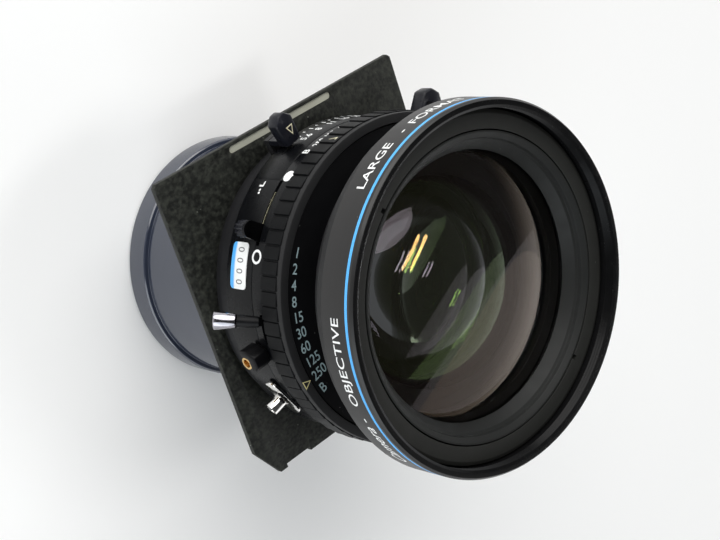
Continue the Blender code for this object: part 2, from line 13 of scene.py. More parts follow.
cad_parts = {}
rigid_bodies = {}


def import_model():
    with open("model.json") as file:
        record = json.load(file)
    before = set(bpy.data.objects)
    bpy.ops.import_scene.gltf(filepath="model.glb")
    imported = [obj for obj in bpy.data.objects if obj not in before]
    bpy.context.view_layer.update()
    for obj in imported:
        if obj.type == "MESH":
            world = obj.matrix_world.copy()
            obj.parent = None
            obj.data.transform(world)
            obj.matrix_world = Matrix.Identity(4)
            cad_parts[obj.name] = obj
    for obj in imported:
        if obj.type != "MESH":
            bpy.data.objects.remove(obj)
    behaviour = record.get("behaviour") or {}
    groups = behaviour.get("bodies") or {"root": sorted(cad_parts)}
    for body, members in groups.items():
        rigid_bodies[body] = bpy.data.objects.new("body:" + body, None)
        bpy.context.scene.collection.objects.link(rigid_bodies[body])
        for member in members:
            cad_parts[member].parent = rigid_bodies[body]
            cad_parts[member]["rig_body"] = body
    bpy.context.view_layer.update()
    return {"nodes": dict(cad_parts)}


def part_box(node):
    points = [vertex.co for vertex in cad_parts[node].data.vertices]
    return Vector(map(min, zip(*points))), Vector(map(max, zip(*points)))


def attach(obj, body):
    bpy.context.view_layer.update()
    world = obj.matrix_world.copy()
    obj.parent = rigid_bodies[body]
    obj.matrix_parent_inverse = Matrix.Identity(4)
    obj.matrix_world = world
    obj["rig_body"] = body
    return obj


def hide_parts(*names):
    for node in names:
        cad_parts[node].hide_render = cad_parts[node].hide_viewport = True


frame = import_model()

MM = 0.001
rim_low, rim_high = (Vector(corner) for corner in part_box("front_rim"))
AXIS = Vector(((rim_low.x + rim_high.x) / 2, (rim_low.y + rim_high.y) / 2, 0.0))
TO_FRAME = Matrix.Translation(AXIS) @ Matrix.Scale(MM, 4)


def high(node):
    """The height of a node's front end, in millimetres."""
    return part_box(node)[1][2] / MM


def low(node):
    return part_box(node)[0][2] / MM


# Driving sizes, in millimetres.
RIM_R = 52.5
RIM_REAR = low("front_rim")
FRONT = high("front_rim")
BORE_R = 50.0
RING_FRONT = high("front_retaining_ring")
CASE_R = 46.6
CASE_REAR = low("shutter_case")
CASE_FRONT = high("shutter_case")
SEAM = 73.8
FACE_FRONT = high("speed_face_plate")
FACE_R = 45.1
RING_R = 48.6
RING_REAR = low("speed_ring")
RING_TOP = high("speed_ring")
BOARD_REAR = low("lens_board")
BOARD_FRONT = high("lens_board")
TUBE_BORE_R = 27.5
NECK_R = 27.2
NECK_BORE_R = 24.5
BOARD_HOLE_R = 32.6
SEAT_DEPTH = 0.2
MARK_HALF = 0.03
LABEL_UNDER, LABEL_OVER = 0.08, 0.30
KNURL_PITCH = 5.0
SPEED_PITCH = 6
APERTURE_PITCH = 6.2

# Slots in the case: start and end angle, rear and front.
PRESS_FOCUS_SLOT = (118.0, 142.5, 73.9, 75.3)
COCKING_SLOT = (0.0, 50.0, 75.3, 76.9)
RELEASE_SLOT = (166.0, 177.0, 76.6, 78.2)

# Colours, linear.
BLACK = (0.012, 0.012, 0.013)
CASE_BLACK = (0.0025, 0.0027, 0.0033)
PANEL_GREY = (0.004, 0.0042, 0.0046)
WHITE = (0.82, 0.83, 0.82)
NUMERAL_GREY = (0.27, 0.36, 0.38)
SKY_BLUE = (0.075, 0.40, 0.84)
GOLD = (0.62, 0.55, 0.27)
CREAM = (0.70, 0.66, 0.46)
RED = (0.75, 0.05, 0.035)
CLEAR = (0.985, 0.99, 0.985)


# Materials.
class Shader:
    """A new material with its Principled shader, and short ways to add nodes to it."""

    def __init__(self, name, colour, roughness, metallic=0.0):
        self.material = bpy.data.materials.new(name)
        self.material.use_nodes = True
        self.tree = self.material.node_tree
        self.shader = self.tree.nodes["Principled BSDF"]
        self.colour = colour
        self.put("Base Color", (*colour, 1.0))
        self.put("Roughness", roughness)
        self.put("Metallic", metallic)
        self.place = self.add("ShaderNodeTexCoord").outputs["Object"]

    def put(self, socket, value):
        self.shader.inputs[socket].default_value = value

    def add(self, kind, **values):
        node = self.tree.nodes.new(kind)
        for name, value in values.items():
            setattr(node, name, value)
        return node

    def join(self, output, target):
        self.tree.links.new(output, target)

    def stretched(self, scale):
        node = self.add("ShaderNodeMapping")
        node.inputs["Scale"].default_value = scale
        self.join(self.place, node.inputs["Vector"])
        return node.outputs["Vector"]

    def noise(self, scale, detail=4.0, roughness=0.55, stretch=None):
        node = self.add("ShaderNodeTexNoise")
        self.join(self.stretched(stretch) if stretch else self.place, node.inputs["Vector"])
        node.inputs["Scale"].default_value = scale
        node.inputs["Detail"].default_value = detail
        node.inputs["Roughness"].default_value = roughness
        return node.outputs["Fac"]

    def cells(self, scale, feature="F1"):
        node = self.add("ShaderNodeTexVoronoi", feature=feature)
        self.join(self.place, node.inputs["Vector"])
        node.inputs["Scale"].default_value = scale
        return node.outputs["Distance"]

    def fitted(self, value, from_low, from_high, to_low, to_high):
        node = self.add("ShaderNodeMapRange")
        self.join(value, node.inputs["Value"])
        for socket, number in zip(
            ("From Min", "From Max", "To Min", "To Max"),
            (from_low, from_high, to_low, to_high),
        ):
            node.inputs[socket].default_value = number
        return node.outputs["Result"]

    def math(self, operation, first, second):
        node = self.add("ShaderNodeMath", operation=operation)
        for socket, value in zip(node.inputs, (first, second)):
            if isinstance(value, (int, float)):
                socket.default_value = value
            else:
                self.join(value, socket)
        return node.outputs["Value"]

    def tint(self, factor, colour):
        """Mixes the colour so far towards another one."""
        node = self.add("ShaderNodeMix", data_type="RGBA")
        sockets = [s for s in node.inputs if s.type == "RGBA"]
        base = self.shader.inputs["Base Color"]
        if base.is_linked:
            self.join(base.links[0].from_socket, sockets[0])
        else:
            sockets[0].default_value = (*self.colour, 1.0)
        sockets[1].default_value = (*colour, 1.0)
        self.join(factor, node.inputs["Factor"])
        self.join([s for s in node.outputs if s.type == "RGBA"][0], base)

    def rough(self, value, lowest, highest):
        self.join(self.fitted(value, 0.3, 0.7, lowest, highest), self.shader.inputs["Roughness"])

    def bump(self, value, depth_mm, strength=1.0):
        node = self.add("ShaderNodeBump")
        node.inputs["Strength"].default_value = strength
        node.inputs["Distance"].default_value = depth_mm * MM
        self.join(value, node.inputs["Height"])
        normal = self.shader.inputs["Normal"]
        if normal.is_linked:
            self.join(normal.links[0].from_socket, node.inputs["Normal"])
        self.join(node.outputs["Normal"], normal)

    def dust(self, colour=(0.16, 0.16, 0.155), scale=800.0, amount=0.0):
        """Sparse specks of dust."""
        speck = self.fitted(self.cells(scale), 0.04, 0.15, 1.0, 0.0)
        chosen = self.math("GREATER_THAN", self.noise(scale * 0.4, 2.0), 0.69 - amount)
        self.tint(self.math("MULTIPLY", speck, chosen), colour)


def lightened(colour, factor):
    return tuple(min(1.0, c * factor) for c in colour)


def anodised(name, colour, roughness, grain=0.006, dust=True, shine=0.25):
    """Anodised aluminium: a fine even grain, slight clouds in tone, and a few specks of dust."""
    s = Shader(name, colour, roughness)
    clouds = s.noise(45.0, 3.0)
    s.tint(s.fitted(clouds, 0.3, 0.75, 0.0, 0.55), lightened(colour, 1.6))
    fine = s.noise(5200.0, 2.0)
    s.rough(s.noise(260.0, 5.0), roughness - 0.05, roughness + 0.06)
    s.bump(fine, grain, 0.7)
    if dust:
        s.dust()
    s.put("Specular IOR Level", shine)
    return s.material


def lathe_turned(name, colour, roughness, metallic=0.0, depth=0.01, shine=0.4):
    """Fine lines round the axis, as a lathe leaves them."""
    s = Shader(name, colour, roughness, metallic)
    lines = s.noise(1.0, 3.0, 0.7, stretch=(18.0, 18.0, 5200.0))
    s.tint(s.fitted(lines, 0.35, 0.7, 0.0, 0.5), lightened(colour, 1.5))
    s.rough(s.noise(90.0, 4.0), roughness - 0.05, roughness + 0.07)
    s.bump(lines, depth, 0.6)
    s.dust(amount=-0.01)
    s.put("Specular IOR Level", shine)
    return s.material


def metal(name, colour, roughness, tarnish=0.75):
    s = Shader(name, colour, roughness, 1.0)
    clouds = s.noise(320.0, 5.0, 0.6)
    s.tint(s.fitted(clouds, 0.4, 0.75, 0.0, 0.6), lightened(colour, tarnish))
    s.rough(clouds, max(0.04, roughness - 0.06), roughness + 0.08)
    s.bump(s.noise(1.0, 2.0, 0.6, stretch=(900.0, 900.0, 5200.0)), 0.004, 0.5)
    return s.material


def crackle_paint(name):
    """Black crackle enamel with an uneven grey-green bloom, as on a lens board."""
    s = Shader(name, (0.0085, 0.009, 0.0078), 0.62)
    broad = s.noise(70.0, 5.0, 0.62)
    mottle = s.noise(620.0, 4.0, 0.65)
    s.tint(s.fitted(mottle, 0.42, 0.72, 0.0, 0.85), (0.042, 0.045, 0.036))
    s.tint(s.fitted(broad, 0.45, 0.78, 0.0, 0.45), (0.030, 0.032, 0.027))
    s.rough(mottle, 0.46, 0.74)
    wrinkles = s.cells(1150.0, "SMOOTH_F1")
    s.bump(wrinkles, 0.16, 0.8)
    s.bump(mottle, 0.10, 0.6)
    s.dust((0.22, 0.23, 0.20), 520.0, 0.03)
    s.put("Specular IOR Level", 0.25)
    return s.material


def moulded(name, colour, roughness, shine=0.25):
    """Moulded plastic: soft sheen, faint ripples, rubbed places a little smoother."""
    s = Shader(name, colour, roughness)
    ripple = s.noise(900.0, 3.0)
    s.tint(s.fitted(s.noise(150.0, 3.0), 0.4, 0.8, 0.0, 0.5), lightened(colour, 1.8))
    s.rough(s.noise(240.0, 4.0), roughness - 0.07, roughness + 0.08)
    s.bump(ripple, 0.012, 0.5)
    s.dust(amount=0.01)
    s.put("Specular IOR Level", shine)
    return s.material


def ink(name, colour):
    """Paint filled into engraving: slightly uneven, matt."""
    s = Shader(name, colour, 0.5)
    s.tint(s.fitted(s.noise(1300.0, 4.0), 0.45, 0.8, 0.0, 0.5), lightened(colour, 0.75))
    s.rough(s.noise(700.0, 3.0), 0.40, 0.60)
    s.bump(s.noise(2600.0, 2.0), 0.01, 0.4)
    return s.material


def coated_glass(name, reflection):
    """Polished glass. The coating gives its reflections a colour."""
    s = Shader(name, CLEAR, 0.0)
    s.put("Transmission Weight", 1.0)
    s.put("IOR", 1.52)
    s.put("Specular Tint", (*reflection, 1.0))
    smear = s.noise(38.0, 4.0, 0.6)
    s.join(s.fitted(smear, 0.45, 0.85, 0.0, 0.035), s.shader.inputs["Roughness"])
    return s.material


def printed_label(name, edge_low, edge_high):
    """White print with a sky-blue band along its rear edge."""
    s = Shader(name, WHITE, 0.42)
    split = s.add("ShaderNodeSeparateXYZ")
    s.join(s.place, split.inputs["Vector"])
    s.tint(s.fitted(s.noise(420.0, 4.0), 0.45, 0.85, 0.0, 0.35), lightened(WHITE, 0.86))
    s.tint(s.fitted(split.outputs["Z"], edge_low * MM, edge_high * MM, 1.0, 0.0), SKY_BLUE)
    s.bump(s.noise(1900.0, 2.0), 0.006, 0.4)
    return s.material


def floor_paper(name):
    s = Shader(name, (0.94, 0.938, 0.93), 0.55)
    s.tint(s.fitted(s.noise(3.0, 3.0), 0.35, 0.75, 0.0, 0.5), (0.915, 0.915, 0.91))
    s.bump(s.noise(900.0, 3.0), 0.02, 0.15)
    return s.material


MATERIALS = {
    "rim": lathe_turned("rim_satin_black", (0.0095, 0.009, 0.009), 0.33, shine=0.38),
    "rim_inside": anodised("rim_inside_black", (0.004, 0.004, 0.0042), 0.24, shine=0.13),
    "ring_matte": anodised("ring_matte_grey", (0.0125, 0.0127, 0.0115), 0.58, shine=0.2),
    "baffle": anodised("baffle_black", (0.0085, 0.009, 0.0085), 0.48, shine=0.2),
    "barrel": anodised("barrel_black", (0.008, 0.008, 0.0085), 0.50),
    "interior": anodised("interior_black", (0.006, 0.006, 0.006), 0.42, dust=False),
    "case": anodised("case_black", CASE_BLACK, 0.28, shine=0.14),
    "panels": anodised("speed_ring_panels", PANEL_GREY, 0.38, shine=0.07),
    "ring_front": anodised("speed_ring_front", (0.010, 0.010, 0.0105), 0.46),
    "face": anodised("speed_face_black", (0.003, 0.003, 0.0034), 0.45, shine=0.1),
    # The rear barrel's colour is gloss black with a blue tint. The black is its own colour; the
    # blue tint is a painted reflection of bluish light.
    "rear": lathe_turned("rear_gloss_black_painted_blue_sheen", (0.022, 0.027, 0.043), 0.15, shine=1.0),
    "base": anodised("base_black", BLACK, 0.48),
    "board": crackle_paint("board_crackle"),
    # The groove's light matt grey is partly the bare metal's own light tone and partly a painted
    # reflection, in place of the shine a real metal surface would show.
    "groove": anodised("groove_metal_tone_and_painted_sheen", (0.36, 0.36, 0.30), 0.45),
    "knob": moulded("knob_black", (0.007, 0.0075, 0.011), 0.30),
    "boss": moulded("boss_black", (0.003, 0.003, 0.0035), 0.36, shine=0.12),
    "blackened": metal("blackened_steel", (0.018, 0.018, 0.020), 0.38),
    "leaf": metal("leaf_steel", (0.035, 0.037, 0.042), 0.40),
    "chrome": metal("chrome", (0.80, 0.79, 0.77), 0.10),
    "strip": metal("pale_brass", (0.78, 0.74, 0.52), 0.32),
    "cap": metal("dark_chrome", (0.36, 0.35, 0.38), 0.14),
    "steel": metal("turned_steel", (0.55, 0.55, 0.56), 0.28),
    "brass": metal("brass", (0.70, 0.48, 0.21), 0.26),
    "white_ink": ink("white_ink", WHITE),
    "grey_ink": ink("numeral_ink", NUMERAL_GREY),
    "blue_ink": ink("blue_ink", SKY_BLUE),
    "gold_ink": ink("gold_ink", GOLD),
    "cream_ink": ink("cream_ink", CREAM),
    "red_ink": ink("red_ink", RED),
    "digit_ink": ink("digit_ink", (0.10, 0.10, 0.11)),
    "edge_paint": anodised("glass_edge_paint", (0.004, 0.004, 0.004), 0.55, dust=False),
    "coat_plain": coated_glass("glass_coated_violet", (0.70, 0.60, 0.64)),
    "coat_amber": coated_glass("glass_coated_amber", (0.55, 0.29, 0.07)),
    "coat_green": coated_glass("glass_coated_green", (0.55, 0.95, 0.16)),
}


# Meshes.
def point(angle, radius):
    turn = math.radians(angle)
    return radius * math.cos(turn), radius * math.sin(turn)


def arc(radius, start, end, steps, centre=(0.0, 0.0)):
    """Points along an arc, both ends included."""
    angles = [start + (end - start) * i / steps for i in range(steps + 1)]
    return [(centre[0] + x, centre[1] + y) for x, y in (point(a, radius) for a in angles)]


def body_of(node):
    return frame["nodes"][node]["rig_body"]


def finish_mesh(mesh, smooth):
    mesh.shade_smooth()
    mesh.set_sharp_from_angle(angle=math.radians(smooth))


def add_piece(name, bm, material, node, replaces=True, smooth=32):
    """A piece from a bmesh in millimetres, which rides with a CAD node and may stand for it."""
    bmesh.ops.remove_doubles(bm, verts=bm.verts, dist=1e-4)
    bmesh.ops.recalc_face_normals(bm, faces=bm.faces)
    bm.transform(TO_FRAME)
    mesh = bpy.data.meshes.new(name)
    bm.to_mesh(mesh)
    bm.free()
    finish_mesh(mesh, smooth)
    piece = bpy.data.objects.new(name, mesh)
    bpy.context.collection.objects.link(piece)
    for key in [material] if isinstance(material, str) else material:
        mesh.materials.append(MATERIALS[key])
    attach(piece, body_of(node))
    if replaces:
        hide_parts(node)
    return piece


def apply_modifiers(piece, smooth=32):
    """Bakes the modifiers into the mesh."""
    bpy.context.view_layer.update()
    graph = bpy.context.evaluated_depsgraph_get()
    mesh = bpy.data.meshes.new_from_object(piece.evaluated_get(graph), depsgraph=graph)
    piece.modifiers.clear()
    piece.data = mesh
    finish_mesh(mesh, smooth)


def filleted(outline, radius, steps=4):
    """The outline with each corner rounded off."""
    rounded = []
    for i, corner in enumerate(outline):
        here = Vector(corner)
        before = Vector(outline[i - 1]) - here
        after = Vector(outline[(i + 1) % len(outline)]) - here
        if here.x <= 0 or radius <= 0:
            rounded.append(tuple(here))
            continue
        cut = min(radius, before.length * 0.45, after.length * 0.45)
        start, end = here + before.normalized() * cut, here + after.normalized() * cut
        for k in range(steps + 1):
            t = k / steps
            spot = start * (1 - t) ** 2 + here * 2 * t * (1 - t) + end * t**2
            rounded.append(tuple(spot))
    return rounded


def turned_bmesh(outline, segments=144):
    """A closed outline of (radius, height) points spun about the optical axis."""
    bm = bmesh.new()
    columns = []
    for k in range(segments):
        turn = math.tau * k / segments
        columns.append([(r * math.cos(turn), r * math.sin(turn), z) for r, z in outline])
    verts = [[bm.verts.new(spot) for spot in column] for column in columns]
    for near, far in zip(verts, verts[1:] + verts[:1]):
        for i in range(len(near)):
            if outline[i - 1][0] > 0 or outline[i][0] > 0:
                bm.faces.new((near[i - 1], far[i - 1], far[i], near[i]))
    return bm


def turned(name, outline, material, node, fillet=0.15, segments=144):
    bm = turned_bmesh(filleted(outline, fillet), segments)
    return add_piece(name, bm, material, node)


def prism_bmesh(outline, bottom, top):
    bm = bmesh.new()
    face = bm.faces.new([bm.verts.new((x, y, bottom)) for x, y in outline])
    raised = bmesh.ops.extrude_face_region(bm, geom=[face])["geom"]
    verts = [item for item in raised if isinstance(item, bmesh.types.BMVert)]
    bmesh.ops.translate(bm, vec=(0, 0, top - bottom), verts=verts)
    return bm


def sector_bmesh(inner, outer, bottom, top, start, end, steps=40):
    """A plate or a shell between two radii and two angles."""
    return prism_bmesh(arc(outer, start, end, steps) + arc(inner, end, start, steps), bottom, top)


def bevelled(piece, width, segments=4, angle=30, smooth=32):
    modifier = piece.modifiers.new("bevel", "BEVEL")
    modifier.width = width * MM
    modifier.segments = segments
    modifier.limit_method = "ANGLE"
    modifier.angle_limit = math.radians(angle)
    apply_modifiers(piece, smooth)


def cut_with(piece, bmeshes, smooth=32):
    """Cuts closed shapes out of the piece."""
    cutters = []
    for i, bm in enumerate(bmeshes):
        bmesh.ops.recalc_face_normals(bm, faces=bm.faces)
        bm.transform(TO_FRAME)
        mesh = bpy.data.meshes.new("cutter")
        bm.to_mesh(mesh)
        bm.free()
        cutter = bpy.data.objects.new("cutter", mesh)
        bpy.context.collection.objects.link(cutter)
        cutters.append(cutter)
        modifier = piece.modifiers.new(f"cut_{i}", "BOOLEAN")
        modifier.object = cutter
        modifier.solver = "EXACT"
    apply_modifiers(piece, smooth)
    for cutter in cutters:
        bpy.data.objects.remove(cutter, do_unlink=True)


# Lettering.
def text_bmesh(text, size, thickness=0.05, bold=0.0, stretch=1.0, align="CENTER", slant=0.0):
    """Characters lying in the x, y plane, centred in height, in millimetres."""
    curve = bpy.data.curves.new("text", "FONT")
    curve.body = text
    curve.size = size
    curve.shear = slant
    curve.align_x = align
    curve.align_y = "CENTER"
    curve.extrude = thickness / 2
    curve.offset = bold
    curve.resolution_u = 4
    holder = bpy.data.objects.new("text", curve)
    bpy.context.collection.objects.link(holder)
    bpy.context.view_layer.update()
    mesh = bpy.data.meshes.new_from_object(holder)
    bm = bmesh.new()
    bm.from_mesh(mesh)
    bpy.data.objects.remove(holder, do_unlink=True)
    bpy.data.meshes.remove(mesh)
    bmesh.ops.scale(bm, vec=(stretch, 1, 1), verts=bm.verts)
    return bm


def sliced(bm, width=0.5):
    """Cuts the shape into strips, so that it bends smoothly."""
    us = [vert.co.x for vert in bm.verts]
    for i in range(1, int((max(us) - min(us)) / width) + 1):
        bmesh.ops.bisect_plane(
            bm,
            geom=bm.verts[:] + bm.edges[:] + bm.faces[:],
            plane_co=(min(us) + i * width, 0, 0),
            plane_no=(1, 0, 0),
        )


def wrap_round(bm, radius, angle, height):
    """Bends a flat shape round the case: right is to smaller angles, its top rearwards."""
    sliced(bm)
    for vert in bm.verts:
        u, v, w = vert.co
        x, y = point(angle - math.degrees(u / radius), radius + w)
        vert.co = (x, y, height - v)


def lay_on_face(bm, radius, angle, height):
    """Puts a flat shape on a front face: right is inwards, its top to smaller angles."""
    turn = math.radians(angle)
    outward = Vector((math.cos(turn), math.sin(turn), 0))
    round_axis = Vector((-math.sin(turn), math.cos(turn), 0))
    for vert in bm.verts:
        u, v, w = vert.co
        vert.co = outward * (radius - u) - round_axis * v + Vector((0, 0, height + w))


def outline_mark_bmesh(corners, width, thickness=0.05):
    """A polygon drawn as a line of the given width."""
    middle = Vector((0, 0))
    for corner in corners:
        middle += Vector(corner) / len(corners)
    inner = []
    for corner in corners:
        reach = Vector(corner) - middle
        inner.append(middle + reach * (1 - width / reach.length * 2))
    bm = bmesh.new()
    levels = []
    for ring in (corners, inner):
        for z in (-thickness / 2, thickness / 2):
            levels.append([bm.verts.new((*spot[:2], z)) for spot in ring])
    order = [levels[0], levels[1], levels[3], levels[2]]
    count = len(corners)
    for side in range(4):
        a, b = order[side], order[(side + 1) % 4]
        for i in range(count):
            j = (i + 1) % count
            bm.faces.new((a[i], a[j], b[j], b[i]))
    return bm


def circle(radius, steps=32):
    return arc(radius, 0, 360 - 360 / steps, steps - 1)


# Front cell.
def thread(radius_crest, radius_root, top, pitch, turns):
    """V-shaped rings, going down from the top."""
    spots = []
    for i in range(turns):
        spots.append((radius_crest, top - i * pitch))
        spots.append((radius_root, top - (i + 0.5) * pitch))
    return spots


def build_rim():
    line_low, line_high = FRONT - 2.7, FRONT - 1.75
    outline = [
        (RIM_R, RIM_REAR),
        (RIM_R, line_low),
        (RIM_R - 0.10, line_low),
        (RIM_R - 0.10, line_high),
        (RIM_R, line_high),
        (RIM_R, FRONT - 0.9),
        (RIM_R - 0.7, FRONT),
        (BORE_R + 0.4, FRONT),
    ]
    outline = filleted(outline, 0.12)
    outline += thread(BORE_R - 0.3, BORE_R + 0.2, FRONT - 0.5, 0.95, 4)
    outline += [(BORE_R - 0.1, RING_FRONT - 0.4), (BORE_R, RIM_REAR)]
    bm = turned_bmesh(outline, 192)
    for face in bm.faces:
        middle = face.calc_center_median()
        radius = math.hypot(middle.x, middle.y)
        in_lip = radius < RIM_R - 0.1 and middle.z > FRONT - 0.3
        face.material_index = int(in_lip or radius < BORE_R + 0.45)
    add_piece("rim", bm, ["rim", "rim_inside"], "front_rim")
    band = [
        (RIM_R - 0.12, line_low),
        (RIM_R + 0.01, line_low),
        (RIM_R + 0.01, line_high),
        (RIM_R - 0.12, line_high),
    ]
    add_piece("rim_blue_line", turned_bmesh(band, 192), "blue_ink", "front_rim", replaces=False)

    height = FRONT - 6.7
    for name, text, size, angle, stretch, slant in (
        ("rim_text_1", "LARGE", 4.1, 114.6, 1.3, 0.0),
        ("rim_text_2", "-", 4.6, 100.4, 1.12, 0.0),
        ("rim_text_3", "FORMAT", 4.1, 85.2, 1.3, 0.0),
        ("rim_text_4", "OBJECTIVE", 4.1, 174.3, 1.3, 0.0),
        ("rim_text_5", "-", 4.6, 193.4, 1.12, 0.0),
        ("rim_text_6", "Camera", 5.2, 206.0, 1.05, 0.35),
    ):
        bm = text_bmesh(text, size, bold=0.01, stretch=stretch, slant=slant)
        wrap_round(bm, RIM_R, angle, height)
        add_piece(name, bm, "white_ink", "front_rim", replaces=False)


def build_front_rings():
    ring = turned(
        "retaining_ring",
        [
            (43.9, RING_FRONT - 2.9),
            (49.3, RING_FRONT - 2.9),
            (49.3, RING_FRONT - 0.5),
            (48.2, RING_FRONT),
            (43.9, RING_FRONT),
        ],
        "ring_matte",
        "front_retaining_ring",
        fillet=0.12,
    )
    cutters = []
    for turn in (125, 305):
        slot = prism_bmesh(
            [(43.0, -0.7), (45.0, -0.7), (45.0, 0.7), (43.0, 0.7)],
            RING_FRONT - 1.2,
            RING_FRONT + 1,
        )
        bmesh.ops.rotate(slot, matrix=Matrix.Rotation(math.radians(turn), 3, "Z"), verts=slot.verts)
        cutters.append(slot)
    cut_with(ring, cutters)
    turned(
        "baffle_ring",
        [
            (38.1, 112.6),
            (40.5, 111.5),
            (43.5, 111.5),
            (43.5, RING_FRONT),
            (43.0, RING_FRONT),
            (41.5, RING_FRONT - 1.1),
            (41.2, RING_FRONT - 2.2),
            (40.4, RING_FRONT - 2.6),
        ],
        "baffle",
        "front_baffle_ring",
        fillet=0.1,
    )
    turned(
        "barrel",
        [
            (NECK_BORE_R, 74.6),
            (NECK_R, 74.6),
            (NECK_R, 88.5),
            (35.0, 88.5),
            (35.0, 91.0),
            (38.5, 93.5),
            (43.8, 98.0),
            (49.8, 106.0),
            (50.8, 110.6),
            (49.6, 110.6),
            (49.6, 115.1),
            (44.0, 115.1),
            (44.0, 110.8),
            (40.8, 110.8),
            (40.8, 99.0),
            (35.3, 99.0),
            (35.3, 92.4),
            (27.4, 92.4),
            (27.4, 89.1),
            (NECK_BORE_R, 89.1),
        ],
        "barrel",
        "front_barrel",
        fillet=0.25,
    )
    turned(
        "spacer",
        [(36.0, 99.3), (40.5, 99.3), (40.5, 102.0), (36.0, 102.9)],
        "interior",
        "front_spacer",
        fillet=0.1,
    )


def element(name, edge_r, front, rear, coatings, seat_r=None, seat_side="rear"):
    """A polished element with a painted edge. Each surface is (curvature radius, middle height)."""
    steps = 18
    seat_r = seat_r or edge_r
    front_r = seat_r if seat_side == "front" else edge_r
    rear_r = seat_r if seat_side == "rear" else edge_r

    def side(surface, reach):
        curvature, middle = surface
        spots = []
        for i in range(steps + 1):
            r = reach * i / steps
            sag = abs(curvature) - math.sqrt(curvature**2 - r**2)
            spots.append((r, middle - math.copysign(sag, curvature)))
        return spots

    front_side, rear_side = side(front, front_r), side(rear, rear_r)
    outline = front_side
    if front_r < edge_r:
        outline.append((edge_r, front_side[-1][1]))
    if rear_r < edge_r:
        outline.append((edge_r, rear_side[-1][1]))
    outline += reversed(rear_side)
    bm = turned_bmesh(outline, 128)
    bmesh.ops.remove_doubles(bm, verts=bm.verts, dist=1e-4)
    bmesh.ops.recalc_face_normals(bm, faces=bm.faces)
    for face in bm.faces:
        reach = max(math.hypot(v.co.x, v.co.y) for v in face.verts)
        flat_seat = seat_r + 0.01 < reach and abs(face.normal.z) > 0.999
        if abs(face.normal.z) < 0.35 or flat_seat:
            face.material_index = 2
        else:
            face.material_index = int(face.normal.z < 0)
    add_piece(f"{name}_polished", bm, [*coatings, "edge_paint"], name, smooth=25)


def build_elements():
    plain, amber, green = "coat_plain", "coat_amber", "coat_green"
    for name, edge_r, front, rear, coatings, *seat in (
        ("front_element_1", 40.4, (105.0, 119.2), (150.0, 108.5), (amber, plain)),
        ("front_element_2", 35.0, (58.0, 107.4), (40.0, 103.3), (green, plain), 27.0),
        ("front_element_3", 27.0, (60.0, 98.5), (-80.0, 85.6), (plain, green)),
        ("rear_element_1", 27.0, (60.0, 43.9), (-80.0, 31.2), (plain, plain)),
        ("rear_element_2", 33.0, (-40.0, 25.0), (-58.0, 20.2), (plain, amber), 27.0, "front"),
        ("rear_element_3", 34.9, (-140.0, 14.0), (-110.0, 4.7), (plain, plain)),
    ):
        element(name, edge_r, front, rear, coatings, *seat)


# Shutter.
def build_case():
    case = turned(
        "case",
        [
            (TUBE_BORE_R - 2, CASE_REAR),
            (CASE_R - 0.8, CASE_REAR),
            (CASE_R, CASE_REAR + 0.8),
            (CASE_R, SEAM - 0.14),
            (CASE_R - 0.22, SEAM),
            (CASE_R, SEAM + 0.14),
            (CASE_R, CASE_FRONT),
            (44.2, CASE_FRONT),
            (44.2, CASE_REAR + 1.8),
            (TUBE_BORE_R - 2, CASE_REAR + 1.8),
        ],
        "case",
        "shutter_case",
        fillet=0.06,
        segments=192,
    )
    cutters = [
        sector_bmesh(42, 50, bottom, top, start, end)
        for start, end, bottom, top in (PRESS_FOCUS_SLOT, COCKING_SLOT, RELEASE_SLOT)
    ]
    cut_with(case, cutters)
    turned(
        "base",
        [
            (TUBE_BORE_R, 45.9),
            (32.2, 45.9),
            (32.2, BOARD_FRONT + 0.3),
            (43.0, BOARD_FRONT + 0.3),
            (43.0, 55.6),
            (40.0, 55.6),
            (40.0, CASE_REAR - 0.3),
            (TUBE_BORE_R, CASE_REAR - 0.3),
        ],
        "base",
        "shutter_base",
        fillet=0.2,
    )
    turned(
        "face_plate",
        [
            (TUBE_BORE_R, 74.0),
            (31.0, 74.0),
            (31.0, 85.6),
            (FACE_R, 85.6),
            (FACE_R, FACE_FRONT),
            (TUBE_BORE_R, FACE_FRONT),
        ],
        "face",
        "speed_face_plate",
        fillet=0.12,
        segments=192,
    )


